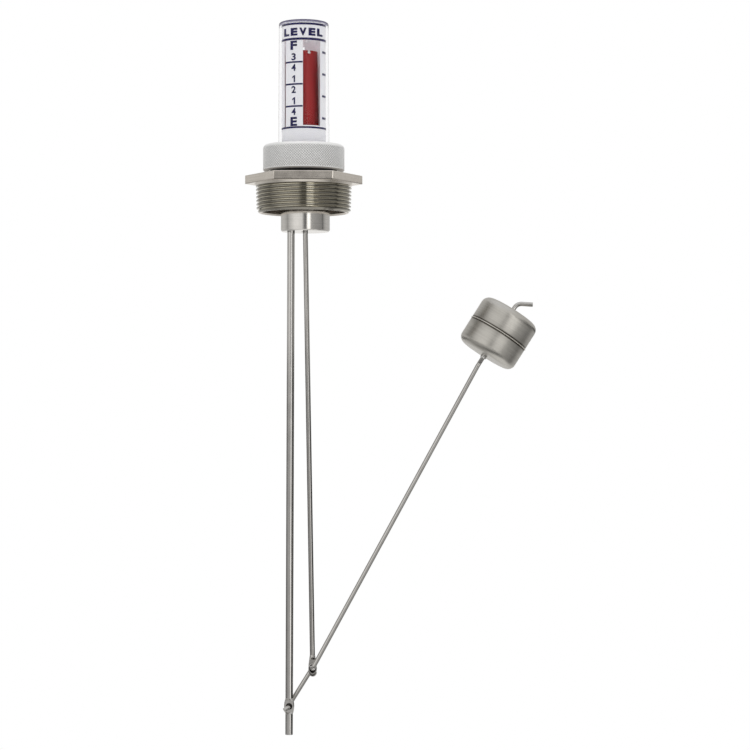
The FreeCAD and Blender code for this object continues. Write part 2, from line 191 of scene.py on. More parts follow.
def metalFinish(name, plan):
    material, wire, place = startMaterial(name)
    turned = place.stretched((1, 1, 1), plan.get("turn", (0, 0, 0)))
    lines = turned.stretched(plan["lines"]).noise(1.0, *metalPlan["lines"])
    cloud = turned.noise(plan["cloud"], *metalPlan["cloud"])
    grain = turned.noise(plan["grain"], *metalPlan["grain"])
    lineShare, cloudShare, grainShare = metalPlan["shares"]
    shade = lines * lineShare + cloud * cloudShare + grain * grainShare
    tint = shade.step(*metalPlan["contrast"]).blend(plan["dark"], plan["light"])
    # a plan with a crest blends in its hollow colour where the crest attribute is low: painted shade in the
    # knurl grooves, the float's seam and round the eye's hole; on the thread the hollow colour is the plain
    # light steel under painted-dark crests
    if "crest" in plan:
        raised = attribute(wire, "crest")
        sunk = (1 - raised) ** plan.get("crestPower", 1.0) * plan["crest"]
        tint = sunk.blend(tint, plan["hollow"])
    rough = plan["roughness"] + (cloud - 0.5) * plan["roughCloud"] + (lines - 0.5) * plan["roughLines"]
    relief = lines.bump(plan["lineBump"], metalPlan["relief"] * mm)
    relief = grain.bump(plan["grainBump"], metalPlan["relief"] * mm, relief)
    endMaterial(wire, {"Base Color": tint, "Metallic": plan.get("metallic", 1.0), "Roughness": rough,
                       "Normal": relief})
    return material


# rubber, print and mouldings: a soft change of tone, with a fine grain in roughness and relief
def plainFinish(name, plan):
    material, wire, place = startMaterial(name)
    tone = place.stretched(plan.get("stretch", (1, 1, 1))).noise(*plan["tone"]).step(*plan["contrast"])
    tint = (tone * plan.get("share", 1.0)).blend(plan["dark"], plan["light"])
    grain = place.noise(*plan["grain"])
    rough, roughGrain = plan["roughness"]
    strength, relief = plan["bump"]
    endMaterial(wire, {"Base Color": tint, "Roughness": rough + grain * roughGrain,
                       "Normal": grain.bump(strength, relief * mm), "Specular IOR Level": plan["specular"]})
    return material


# floor and light
floorPlan = {"height": -0.85, "radius": 1.25, "segments": 96, "fade": (0.55, 1.2),
             "albedo": colour(0.86, 0.86, 0.86)}

# brightness round the studio, by degrees from the camera's side, + towards the float; each ring after
# "level" takes over between two heights, given as the sine of the elevation, and so do the glows
studioPlan = {
    "backdrop": colour(1.0, 1.0, 1.0), "tint": (1.0, 0.985, 0.96),
    "upper": [(-180, 0.60), (-140, 0.56), (-118, 0.62), (-99, 0.50), (-90, 0.36), (-80, 0.58), (-50, 0.95),
              (-36, 0.98), (-14, 0.88), (-3, 0.20), (7, 0.16), (11.5, 1.5), (18, 1.75), (24, 1.4), (29, 0.42),
              (86, 0.30), (91, 0.12), (99, 0.40), (118, 0.58), (137, 0.54), (180, 0.60)],
    "high": [(-180, 0.60), (-135, 0.55), (-118, 0.32), (-100, 0.24), (-86, 0.32), (-68, 0.64), (-40, 0.76),
             (0, 0.68), (60, 0.68), (120, 0.58), (180, 0.60)],
    "level": [(-180, 0.9), (-165, 0.9), (-150, 0.12), (-112, 0.10), (-96, 0.30), (-60, 0.40), (-25, 0.48),
              (-8, 0.46), (3, 0.40), (12, 0.42), (18, 0.50), (22, 1.5), (35, 1.5), (42, 0.45), (56, 0.22),
              (70, 0.06), (150, 0.05), (165, 0.9), (180, 0.9)],
    "foot": [(-180, 0.9), (-165, 0.9), (-150, 0.12), (-112, 0.08), (-96, 0.24), (-60, 0.34), (-25, 0.46),
             (-8, 0.50), (14, 0.46), (23, 0.50), (27, 1.45), (45, 1.45), (53, 0.35), (64, 0.06), (150, 0.05),
             (165, 0.9), (180, 0.9)],
    "low": [(-180, 0.68), (-130, 0.56), (-105, 0.40), (-60, 0.46), (-10, 0.54), (12, 0.54), (45, 0.50),
            (60, 0.43), (80, 0.33), (98, 0.20), (110, 0.20), (130, 0.48), (180, 0.68)],
    "deep": [(-180, 0.78), (-140, 0.56), (-105, 0.40), (-90, 0.31), (-60, 0.29), (-45, 0.14), (36, 0.14),
             (50, 0.37), (72, 0.34), (90, 0.27), (101, 0.17), (110, 0.17), (130, 0.48), (180, 0.78)],
    "rings": [("upper", 0.0, 0.02), ("high", 0.24, 0.36), ("foot", -0.10, -0.12), ("low", -0.183, -0.205),
              ("deep", -0.40, -0.50)],
    "glows": [(0.70, 0.92, colour(0.75, 0.75, 0.76)), (-0.78, -0.94, colour(0.80, 0.79, 0.77))],
}
softboxes = {
    "overhead": {"azimuth": 10, "height": 1.35, "distance": 0.5, "size": (1.2, 1.0), "power": 3.0,
                 "tint": (1.0, 1.0, 1.0), "aim": (0.0, 0.0, -0.12)},
}


def buildFloor():
    mesh = bmesh.new()
    bmesh.ops.create_circle(mesh, segments=floorPlan["segments"], radius=floorPlan["radius"], cap_ends=True)
    bmesh.ops.translate(mesh, verts=mesh.verts, vec=(0, 0, floorPlan["height"]))
    data = bpy.data.meshes.new("studioFloor")
    mesh.to_mesh(data)
    mesh.free()
    floor = bpy.data.objects.new("studioFloor", data)
    scene.collection.objects.link(floor)
    material, wire, place = startMaterial("paleFloor")
    fade = place.reach().step(*floorPlan["fade"])
    paper = wire.node("ShaderNodeBsdfDiffuse", {}, {"Color": floorPlan["albedo"]})
    clear = wire.node("ShaderNodeBsdfTransparent")
    mixed = wire.node("ShaderNodeMixShader", {}, {0: fade, 1: paper, 2: clear})
    wire.node("ShaderNodeOutputMaterial", {}, {"Surface": mixed})
    data.materials.append(material)
    floor.visible_glossy = False


def buildWorld():
    world = bpy.data.worlds.new("studio")
    world.use_nodes = True
    scene.world = world
    tree = world.node_tree
    tree.nodes.clear()
    wire = Wire(tree)
    way = wire.node("ShaderNodeTexCoord", {}, {}, "Generated")
    side, back, high = way.axes()
    turn = wire.math("ARCTAN2", side, back * -1) * (0.5 / math.pi) + 0.5

    def ring(name):
        stops = [(degrees / 360 + 0.5, [level * part for part in studioPlan["tint"]])
                 for degrees, level in studioPlan[name]]
        return wire.node("ShaderNodeValToRGB", {"stops": stops}, {"Fac": turn})

    room = ring("level")
    for name, start, end in studioPlan["rings"]:
        room = high.step(start, end).blend(room, ring(name))
    for start, end, glow in studioPlan["glows"]:
        room = high.step(start, end).blend(room, glow)
    light = wire.node("ShaderNodeLightPath").socket.node
    direct, through, soft = (Wire(tree, light.outputs["Is " + kind + " Ray"])
                             for kind in ("Camera", "Transmission", "Diffuse"))
    shown = direct.largest(through).largest(soft).blend(room, studioPlan["backdrop"])
    backdrop = wire.node("ShaderNodeBackground", {}, {"Color": shown, "Strength": 1.0})
    wire.node("ShaderNodeOutputWorld", {}, {"Surface": backdrop})


def buildSoftboxes():
    for name, plan in softboxes.items():
        data = bpy.data.lights.new(name, "AREA")
        data.shape = "RECTANGLE"
        data.size, data.size_y = plan["size"]
        data.energy = plan["power"]
        data.color = plan["tint"]
        lamp = bpy.data.objects.new(name, data)
        turn = math.radians(plan["azimuth"])
        away = plan["distance"]
        lamp.location = (away * math.sin(turn), -away * math.cos(turn), plan["height"])
        lamp.rotation_euler = (Vector(plan["aim"]) - lamp.location).to_track_quat("-Z", "Y").to_euler()
        lamp.visible_camera = False
        lamp.visible_glossy = False
        scene.collection.objects.link(lamp)


buildFloor()
buildWorld()
buildSoftboxes()
scene.view_settings.view_transform = "Standard"
print("floor and light set")


# finishes
steelFinish = {
    "lines": (40, 40, 1500), "cloud": 170, "grain": 1000, "dark": colour(0.70, 0.655, 0.595),
    "light": colour(0.86, 0.81, 0.745), "roughness": 0.22, "roughCloud": 0.08, "roughLines": 0.05,
    "lineBump": 0.03, "grainBump": 0.03,
}
# painted shade: the thread's crests are much darker than the same bushing's hex steel, standing in for the
# thread's dark reflections under the hex; its hollows keep a light steel tone
threadFinish = {
    "lines": (50, 50, 900), "cloud": 70, "grain": 1000, "dark": colour(0.26, 0.25, 0.22),
    "light": colour(0.34, 0.325, 0.285), "roughness": 0.08, "roughCloud": 0.04, "roughLines": 0.02,
    "lineBump": 0.0, "grainBump": 0.0, "crest": 1.0, "hollow": colour(0.70, 0.675, 0.60),
}
hubFinish = {
    "lines": (30, 30, 1600), "cloud": 120, "grain": 1100, "dark": colour(0.62, 0.605, 0.58),
    "light": colour(0.76, 0.745, 0.72), "roughness": 0.13, "roughCloud": 0.08, "roughLines": 0.06,
    "lineBump": 0.04, "grainBump": 0.02,
}
# hollow: painted shade, darkening the knurl's cut grooves and the ring's foot
ringFinish = {
    "lines": (60, 60, 1800), "cloud": 210, "grain": 1200, "dark": colour(0.89, 0.89, 0.885),
    "light": colour(0.96, 0.96, 0.955), "metallic": 0.4, "roughness": 0.34, "roughCloud": 0.12,
    "roughLines": 0.08, "lineBump": 0.04, "grainBump": 0.05, "crest": 0.85,
    "crestPower": 3.0, "hollow": colour(0.14, 0.14, 0.138),
}
rodFinish = {
    "lines": (500, 500, 20), "cloud": 110, "grain": 1000, "dark": colour(0.56, 0.55, 0.535),
    "light": colour(0.70, 0.69, 0.675), "roughness": 0.11, "roughCloud": 0.08, "roughLines": 0.04,
    "lineBump": 0.0, "grainBump": 0.01,
}
operatingFinish = {**rodFinish, "dark": colour(0.44, 0.43, 0.415), "light": colour(0.56, 0.55, 0.535)}
# hollow: painted shadow, black round the eye's hole and darker at the rim
eyeFinish = {**operatingFinish, "crest": 1.0, "hollow": colour(0.012, 0.012, 0.012)}
wireFinish = {
    "lines": (300, 300, 10), "turn": (0, -math.radians(28.6), 0), "cloud": 130, "grain": 1000,
    "dark": colour(0.56, 0.55, 0.53), "light": colour(0.68, 0.67, 0.65), "roughness": 0.12,
    "roughCloud": 0.08, "roughLines": 0.04, "lineBump": 0.0, "grainBump": 0.01,
}
# near black: painted shade for the dark hole of the support rod's eye
holeShadeFinish = {
    "lines": (300, 300, 300), "cloud": 160, "grain": 1000, "dark": colour(0.05, 0.048, 0.045),
    "light": colour(0.11, 0.105, 0.10), "roughness": 0.35, "roughCloud": 0.12, "roughLines": 0.06,
    "lineBump": 0.03, "grainBump": 0.04,
}
# hollow: painted shade, near black in the seam's groove and darker in the band beside it
floatFinish = {
    "lines": (45, 45, 1400), "turn": (0, -math.radians(32.5), 0), "cloud": 95, "grain": 900,
    "dark": colour(0.56, 0.545, 0.508), "light": colour(0.70, 0.684, 0.643), "roughness": 0.33,
    "roughCloud": 0.14, "roughLines": 0.08, "lineBump": 0.05, "grainBump": 0.06,
    "crest": 0.9, "hollow": colour(0.045, 0.038, 0.026),
}
beadFinish = {
    "lines": (45, 45, 1400), "turn": (0, -math.radians(32.5), 0), "cloud": 220, "grain": 1400,
    "dark": colour(0.70, 0.67, 0.61), "light": colour(0.88, 0.85, 0.79), "roughness": 0.30,
    "roughCloud": 0.16, "roughLines": 0.06, "lineBump": 0.04, "grainBump": 0.06,
}
rubberFinish = {
    "tone": (240, 3.0, 0.6), "contrast": (0.45, 0.75), "share": 0.5, "dark": colour(0.010, 0.010, 0.011),
    "light": colour(0.045, 0.044, 0.042), "grain": (1800, 4.0, 0.6), "roughness": (0.55, 0.25),
    "bump": (0.25, 0.05), "specular": 0.35,
}
# thin white film with a cool cast
filmFinish = {
    "tone": (180, 3.0, 0.5), "contrast": (0.3, 0.7), "dark": colour(0.955, 0.95, 0.99),
    "light": colour(0.985, 0.98, 1.0), "grain": (1400, 4.0, 0.65), "roughness": (0.42, 0.2),
    "bump": (0.05, 0.02), "specular": 0.2,
}
inkFinish = {
    "tone": (1300, 4.0, 0.7), "contrast": (0.42, 0.75), "dark": colour(0.011, 0.009, 0.065),
    "light": colour(0.027, 0.022, 0.140), "grain": (1300, 4.0, 0.7), "roughness": (0.36, 0.25),
    "bump": (0.05, 0.02), "specular": 0.1,
}
redFinish = {
    "stretch": (300, 300, 40), "tone": (1.0, 3.0, 0.5), "contrast": (0.3, 0.7),
    "dark": colour(0.31, 0.018, 0.019), "light": colour(0.38, 0.024, 0.025), "grain": (1200, 3.0, 0.6),
    "roughness": (0.38, 0.18), "bump": (0.06, 0.03), "specular": 0.1,
}
bushingSteel = metalFinish("bushingSteel", steelFinish)
threadSteel = metalFinish("threadSteel", threadFinish)
hubAluminium = metalFinish("hubAluminium", hubFinish)
ringAluminium = metalFinish("ringAluminium", ringFinish)
rodSteel = metalFinish("rodSteel", rodFinish)
operatingSteel = metalFinish("operatingSteel", operatingFinish)
eyeSteel = metalFinish("eyeSteel", eyeFinish)
wireSteel = metalFinish("wireSteel", wireFinish)
holeShadeSteel = metalFinish("holeShadeSteel", holeShadeFinish)
floatSteel = metalFinish("floatSteel", floatFinish)
beadSteel = metalFinish("beadSteel", beadFinish)
blackRubber = plainFinish("blackRubber", rubberFinish)
whiteFilm = plainFinish("whiteFilm", filmFinish)
darkInk = plainFinish("darkInk", inkFinish)
redPlastic = plainFinish("redPlastic", redFinish)


# clear moulding with painted shade where the wall turns into the crown: a darker violet tint stands in for
# the dark room seen through the crown's edge
clearPlan = {"clear": colour(0.985, 0.986, 0.99), "rim": colour(0.13, 0.12, 0.20), "rimHeight": (99.1, 100.2),
             "rimRadius": (13.0, 14.0), "scuffs": (900, 900, 90), "scuffNoise": (3.0, 0.6),
             "scuffed": (0.62, 0.78), "roughness": (0.015, 0.04), "ior": 1.2}


def makeClearPlastic():
    plan = clearPlan
    material, wire, place = startMaterial("clearPlastic")
    crown = place.axes()[2].step(*(height * mm for height in plan["rimHeight"]))
    rim = crown * place.reach().step(*(radius * mm for radius in plan["rimRadius"]))
    scuffs = place.stretched(plan["scuffs"]).noise(1.0, *plan["scuffNoise"]).step(*plan["scuffed"])
    rough, roughScuff = plan["roughness"]
    endMaterial(wire, {"Base Color": rim.blend(plan["clear"], plan["rim"]),
                       "Roughness": rough + scuffs * roughScuff, "Transmission Weight": 1.0,
                       "IOR": plan["ior"]})
    return material


clearPlastic = makeClearPlastic()
print("finishes made")


closeBy = 1e-7  # metres; nearer points count as one


# a finished bmesh becomes a piece that rides on a body; edges past the sharp angle stay crisp
def finishPiece(name, mesh, materials, body, standsFor, sharp):
    data = bpy.data.meshes.new(name)
    mesh.to_mesh(data)
    mesh.free()
    data.polygons.foreach_set("use_smooth", [True] * len(data.polygons))
    data.set_sharp_from_angle(angle=math.radians(sharp))
    for material in materials:
        data.materials.append(material)
    piece = bpy.data.objects.new(name, data)
    scene.collection.objects.link(piece)
    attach(piece, body)
    if standsFor:
        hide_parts(*standsFor)
    print("made", name, len(data.polygons), "faces")


# half a section, as radius and height in millimetres
def outlineOf(mesh, points, closed=True):
    verts = [mesh.verts.new((radius * mm, 0, height * mm)) for radius, height in points]
    pairs = list(zip(verts, verts[1:]))
    if closed:
        pairs.append((verts[-1], verts[0]))
    for pair in pairs:
        mesh.edges.new(pair)
    return verts


def newVerts(made):
    return [g for g in made if isinstance(g, bmesh.types.BMVert)]


def openEdges(made):
    return [g for g in made if isinstance(g, bmesh.types.BMEdge) and g.is_boundary]


def roundCorner(mesh, vert, radius, segments):
    bmesh.ops.bevel(mesh, geom=[vert], offset=radius * mm, offset_type="OFFSET", affect="VERTICES",
                    segments=segments, profile=0.5, material=-1)


def spinOutline(mesh, steps):
    bmesh.ops.spin(mesh, geom=mesh.verts[:] + mesh.edges[:], cent=(0, 0, 0), axis=(0, 0, 1),
                   angle=2 * math.pi, steps=steps, use_merge=True)
    closeShell(mesh)


def closeShell(mesh):
    bmesh.ops.remove_doubles(mesh, verts=mesh.verts, dist=closeBy)
    bmesh.ops.recalc_face_normals(mesh, faces=mesh.faces)


# a ring drawn flat comes to face the front
def standUp(mesh):
    quarter = Matrix.Rotation(math.pi / 2, 3, "X")
    bmesh.ops.rotate(mesh, verts=mesh.verts, cent=(0, 0, 0), matrix=quarter)


def turnRound(mesh, verts, degrees):
    turn = Matrix.Rotation(math.radians(degrees), 3, "Z")
    bmesh.ops.rotate(mesh, verts=verts, cent=(0, 0, 0), matrix=turn)


def radiusOf(vert):
    return math.hypot(vert.co.x, vert.co.y)


def setRadius(vert, radius):
    share = radius / radiusOf(vert)
    vert.co.x *= share
    vert.co.y *= share


# lock ring with a cut diamond knurl
ringLow, ringHigh = span("lock_ring")
ringPlan = {"radius": ringHigh.x, "top": ringHigh.z, "foot": ringLow.z, "lip": 3.2, "lipRadius": 16.45,
            "lipRound": (0.4, 3), "bore": 21.9, "shoulder": 2.4, "shoulderSteps": 14, "footBreak": 0.8,
            "teeth": 96, "columns": 6, "rows": 47, "rowsPerTooth": 6, "depth": 0.5, "margin": 0.5,
            "footShade": 0.3, "sharp": 50}


def buildLockRing():
    plan = ringPlan
    mesh = bmesh.new()
    lipFoot = plan["top"] - plan["lip"]
    corners = outlineOf(mesh, [
        (plan["radius"], plan["foot"] + plan["footBreak"]), (plan["radius"], plan["top"]),
        (plan["lipRadius"], plan["top"]), (plan["lipRadius"], lipFoot), (plan["bore"], lipFoot),
        (plan["bore"], plan["foot"]), (plan["radius"] - plan["footBreak"], plan["foot"])])
    roundCorner(mesh, corners[1], plan["shoulder"], plan["shoulderSteps"])
    roundCorner(mesh, corners[2], *plan["lipRound"])
    side = [e for e in mesh.edges if all(abs(v.co.x - plan["radius"] * mm) < closeBy for v in e.verts)]
    bmesh.ops.subdivide_edges(mesh, edges=side, cuts=plan["rows"])
    spinOutline(mesh, plan["teeth"] * plan["columns"])
    # the crest attribute carries painted shade: low in the knurl's grooves and at the foot
    crest = mesh.verts.layers.float.new("crest")
    low = (plan["foot"] + plan["footBreak"]) * mm
    high = (plan["top"] - plan["shoulder"]) * mm
    rowHeight = (high - low) / (plan["rows"] + 1)
    for vert in mesh.verts:
        # below the knurl the ring's foot gets painted shade
        vert[crest] = 1.0 if vert.co.z > low else plan["footShade"]
        if vert.co.z < low or radiusOf(vert) < (plan["radius"] - plan["shoulder"]) * mm + closeBy:
            continue
        along = math.atan2(vert.co.y, vert.co.x) / (2 * math.pi) * plan["teeth"]
        up = (vert.co.z - low) / (rowHeight * plan["rowsPerTooth"])
        ridge = min(abs((along + up) % 1 - 0.5), abs((along - up) % 1 - 0.5)) * 2
        foot = (vert.co.z - low) / (plan["margin"] * mm)
        runOut = (plan["top"] * mm - vert.co.z) / (plan["shoulder"] * mm)
        cut = (1 - ridge) * min(1.0, foot, max(0.0, runOut))
        vert[crest] = 1.0 - cut
        setRadius(vert, radiusOf(vert) - plan["depth"] * cut * mm)
    finishPiece("lockRing", mesh, [ringAluminium], "head", ["lock_ring"], plan["sharp"])


# hex bushing with a real helical pipe thread
bushingLow, bushingHigh = span("hex_bushing")
bushingPlan = {
    "acrossFlats": 64.2, "turn": 1.8, "thickness": bushingHigh.z, "bottom": bushingLow.z, "edgeBreak": 0.5,
    "edgeSteps": 3, "edgeReach": 31.36, "edgeAngle": 0.5, "underBreak": (0.22, 0.6), "land": 30.16,
    "landLength": 1.3, "flare": 1.04, "tuck": 0.3, "pitch": 2.309, "turns": 10, "startAbove": 1.5,
    "depth": 1.3, "crestFlat": 0.6, "rootFlat": 0.16, "taper": 0.03125, "lead": 1.5, "join": 1e-6,
    "threadFoot": 0.02, "hollow": 26.5, "mouthBreak": 1.0, "ceiling": -0.6, "bore": 17.1, "columns": 168,
    "sharp": 12,
}


def boundaryAt(mesh, height):
    return [e for e in mesh.edges
            if e.is_boundary and all(abs(v.co.z - height * mm) < closeBy for v in e.verts)]


def extrudeLoop(mesh, edges, radius, height):
    made = bmesh.ops.extrude_edge_only(mesh, edges=edges)["geom"]
    for vert in newVerts(made):
        setRadius(vert, radius * mm)
        vert.co.z = height * mm
    return openEdges(made)


# one tooth's outline, wound down along the axis, cut level at both ends and tapered
def windThread(mesh, plan):
    crest = mesh.verts.layers.float.new("crest")
    pitch = plan["pitch"]
    flank = (pitch - plan["crestFlat"] - plan["rootFlat"]) / 2
    start = plan["startAbove"] * pitch - plan["landLength"]
    root = plan["land"] - plan["depth"]
    outlineOf(mesh, [
        (plan["land"], start), (plan["land"], start - plan["crestFlat"]),
        (root, start - plan["crestFlat"] - flank),
        (root, start - plan["crestFlat"] - flank - plan["rootFlat"]),
        (plan["land"], start - pitch)], closed=False)
    bmesh.ops.spin(mesh, geom=mesh.verts[:] + mesh.edges[:], cent=(0, 0, 0), axis=(0, 0, 1),
                   dvec=(0, 0, -pitch * mm / plan["columns"]), angle=-2 * math.pi * plan["turns"],
                   steps=plan["columns"] * plan["turns"], use_merge=False)
    bmesh.ops.remove_doubles(mesh, verts=mesh.verts, dist=plan["join"])
    for vert in mesh.verts:
        vert[crest] = (radiusOf(vert) / mm - root) / plan["depth"]
    for height, way in ((-plan["landLength"], 1), (plan["bottom"], -1)):
        bmesh.ops.bisect_plane(mesh, geom=mesh.verts[:] + mesh.edges[:] + mesh.faces[:],
                               plane_co=(0, 0, height * mm), plane_no=(0, 0, way), clear_outer=True)
    footRadius = plan["land"] + plan["taper"] * (plan["bottom"] + plan["landLength"]) - plan["lead"]
    for vert in mesh.verts:
        height = vert.co.z / mm
        reach = radiusOf(vert) / mm + plan["taper"] * (height + plan["landLength"])
        limit = footRadius + height - plan["bottom"]
        setRadius(vert, min(reach, limit) * mm)
        if limit < reach:
            vert[crest] = 1.0


# hollow skirt under the thread, and the flared land above it
def closeSkirt(mesh, plan, mouth):
    low = boundaryAt(mesh, plan["bottom"])
    for radius, height in ((mouth, plan["bottom"]), (plan["hollow"], plan["bottom"] + plan["mouthBreak"]),
                           (plan["hollow"], plan["ceiling"]), (plan["bore"], plan["ceiling"]),
                           (plan["bore"], 0.0)):
        low = extrudeLoop(mesh, low, radius, height)
    top = boundaryAt(mesh, -plan["landLength"])
    for radius, height in ((plan["land"], -plan["landLength"]), (plan["land"] + plan["flare"], 0.0),
                           (plan["land"], plan["tuck"])):
        top = extrudeLoop(mesh, top, radius, height)


def addHexHead(mesh, plan):
    oldEdges = set(mesh.edges)
    inset, rise = plan["underBreak"]
    across = plan["acrossFlats"] - 2 * inset
    hexVerts = bmesh.ops.create_circle(mesh, segments=6, radius=across / math.sqrt(3) * mm)["verts"]
    turnRound(mesh, hexVerts, 90 + plan["turn"])
    hexEdges = [e for e in mesh.edges if e not in oldEdges]
    bmesh.ops.subdivide_edges(mesh, edges=hexEdges, cuts=plan["columns"] // len(hexVerts) - 1)
    footEdges = [e for e in mesh.edges if e not in oldEdges]
    topEdges = footEdges
    for grow, lift in ((plan["acrossFlats"] / across, rise), (1.0, plan["thickness"] - rise)):
        walls = bmesh.ops.extrude_edge_only(mesh, edges=topEdges)["geom"]
        upper = newVerts(walls)
        bmesh.ops.scale(mesh, verts=upper, vec=(grow, grow, 1.0))
        bmesh.ops.translate(mesh, verts=upper, vec=(0, 0, lift * mm))
        topEdges = openEdges(walls)
    under = extrudeLoop(mesh, footEdges, plan["bore"], 0.0)
    extrudeLoop(mesh, under, plan["bore"], plan["thickness"])
    extrudeLoop(mesh, topEdges, plan["bore"], plan["thickness"])
    closeShell(mesh)
    rim = [e for e in mesh.edges if len(e.link_faces) == 2 and e.calc_face_angle(0) > plan["edgeAngle"]
           and all(v.co.z > rise * mm / 2 and radiusOf(v) > plan["edgeReach"] * mm for v in e.verts)]
    bmesh.ops.bevel(mesh, geom=rim, offset=plan["edgeBreak"] * mm, offset_type="OFFSET", affect="EDGES",
                    segments=plan["edgeSteps"], profile=0.5, material=-1)


def buildHexBushing():
    plan = bushingPlan
    mesh = bmesh.new()
    mouth = plan["hollow"] + plan["mouthBreak"]
    windThread(mesh, plan)
    closeSkirt(mesh, plan, mouth)
    addHexHead(mesh, plan)
    for face in mesh.faces:
        middle = face.calc_center_median() / mm
        onThread = plan["bottom"] + plan["threadFoot"] < middle.z < -plan["landLength"]
        if onThread and middle.xy.length > mouth:
            face.material_index = 1
    finishPiece("hexBushing", mesh, [bushingSteel, threadSteel], "head", ["hex_bushing"],
                plan["sharp"])


# clear sight cap
capLow, capHigh = span("sight_cap")
capPlan = {"foot": capLow.z, "flange": capHigh.x, "flangeHeight": 3.0, "radius": 16.1, "topRadius": 15.6,
           "top": capHigh.z, "crown": 1.6, "wall": 1.5, "crownRound": (1.2, 8), "round": (0.4, 4),
           "hold": 2.0, "steps": 128, "sharp": 40}


# extra points hold the wall straight beside its rounded ends
def wallPoint(foot, head, height):
    share = (height - foot[1]) / (head[1] - foot[1])
    return foot[0] + (head[0] - foot[0]) * share, height


def buildSightCap():
    plan = capPlan
    mesh = bmesh.new()
    flangeTop = plan["foot"] + plan["flangeHeight"]
    ceiling = plan["top"] - plan["crown"]
    head, foot = (plan["topRadius"], plan["top"]), (plan["radius"], flangeTop)
    inHead, inFoot = (head[0] - plan["wall"], ceiling), (foot[0] - plan["wall"], plan["foot"])
    corners = outlineOf(mesh, [
        (0, plan["top"]), head, wallPoint(foot, head, plan["top"] - plan["hold"]),
        wallPoint(foot, head, flangeTop + plan["hold"]), foot, (plan["flange"], flangeTop),
        (plan["flange"], plan["foot"]), inFoot, wallPoint(inFoot, inHead, ceiling - plan["hold"]), inHead,
        (0, ceiling)], closed=False)
    roundCorner(mesh, corners[1], *plan["crownRound"])
    roundCorner(mesh, corners[9], *plan["round"])
    roundCorner(mesh, corners[4], *plan["round"])
    spinOutline(mesh, plan["steps"])
    finishPiece("sightCap", mesh, [clearPlastic], "head", ["sight_cap"], plan["sharp"])


# printed letters and figures, wrapped on the sleeve, each kind with a height, a width and a weight
sleeveLow, sleeveHigh = span("scale_sleeve")
printPlan = {"radius": sleeveHigh.x, "proud": 0.13, "sink": 0.05, "slice": 0.45, "azimuth": -24.5,
             "emptyMark": 33.65, "quarter": 13.74, "above": 3.3, "below": -3.4, "turns": (0.0, 180.0),
             "ends": {"E": 37.8, "F": 85.3}, "header": {"word": "LEVEL", "height": 93.7, "pitch": 23.5},
             "kinds": {"end": (5.6, 4.4, 0.045), "figure": (4.4, 2.85, 0.03), "one": (4.4, 1.95, 0.0),
                       "header": (4.8, 4.5, 0.062)},
             "one": [(0.54, 0), (1, 0), (1, 1), (0.70, 1), (0, 0.76), (0, 0.58), (0.54, 0.74)],
             "join": 1e-5, "sharp": 30}


# the figure one has its own outline, a stem with a flag
def figureOne():
    mesh = bmesh.new()
    face = mesh.faces.new([mesh.verts.new((across, up, -0.5)) for across, up in printPlan["one"]])
    made = bmesh.ops.extrude_face_region(mesh, geom=[face])["geom"]
    bmesh.ops.translate(mesh, verts=newVerts(made), vec=(0, 0, 1))
    return mesh


def fontLetter(character, weight):
    curve = bpy.data.curves.new("letter", "FONT")
    curve.body = character
    curve.size = 1.0
    curve.offset = weight
    curve.extrude = 0.5
    holder = bpy.data.objects.new("letter", curve)
    scene.collection.objects.link(holder)
    bpy.context.view_layer.update()
    data = bpy.data.meshes.new_from_object(holder.evaluated_get(bpy.context.evaluated_depsgraph_get()))
    bpy.data.objects.remove(holder)
    bpy.data.curves.remove(curve)
    mesh = bmesh.new()
    mesh.from_mesh(data)
    bpy.data.meshes.remove(data)
    bmesh.ops.remove_doubles(mesh, verts=mesh.verts, dist=printPlan["join"])
    return mesh


def letterMesh(character, kind):
    height, width, weight = printPlan["kinds"][kind]
    mesh = figureOne() if kind == "one" else fontLetter(character, weight)
    left, foot = (min(v.co[axis] for v in mesh.verts) for axis in range(2))
    right, head = (max(v.co[axis] for v in mesh.verts) for axis in range(2))
    bmesh.ops.translate(mesh, verts=mesh.verts, vec=(-(left + right) / 2, -(foot + head) / 2, 0))
    bmesh.ops.scale(mesh, verts=mesh.verts,
                    vec=(width * mm / (right - left), height * mm / (head - foot), 1.0))
    cut = -width * mm / 2  # narrow slices let the letter bend round the sleeve
    while cut < width * mm / 2:
        bmesh.ops.bisect_plane(mesh, geom=mesh.verts[:] + mesh.edges[:] + mesh.faces[:],
                               plane_co=(cut, 0, 0), plane_no=(1, 0, 0))
        cut += printPlan["slice"] * mm
    return mesh


def wrapLetter(mesh, azimuth, height):
    radius = printPlan["radius"] * mm
    for vert in mesh.verts:
        turn = math.radians(azimuth) + vert.co.x / radius
        reach = radius + (printPlan["proud"] if vert.co.z > 0 else -printPlan["sink"]) * mm
        vert.co = (reach * math.sin(turn), -reach * math.cos(turn), height * mm + vert.co.y)


def printMarks():
    plan = printPlan
    marks = [(character, "end", plan["azimuth"], height) for character, height in plan["ends"].items()]
    for quarter, (upper, lower) in enumerate(("14", "12", "34"), 1):
        bar = plan["emptyMark"] + quarter * plan["quarter"]
        for figure, shift in ((upper, plan["above"]), (lower, plan["below"])):
            marks.append((figure, "one" if figure == "1" else "figure", plan["azimuth"], bar + shift))
    header = plan["header"]
    for place, character in enumerate(header["word"]):
        azimuth = (place - (len(header["word"]) - 1) / 2) * header["pitch"]
        marks.append((character, "header", azimuth, header["height"]))
    return marks


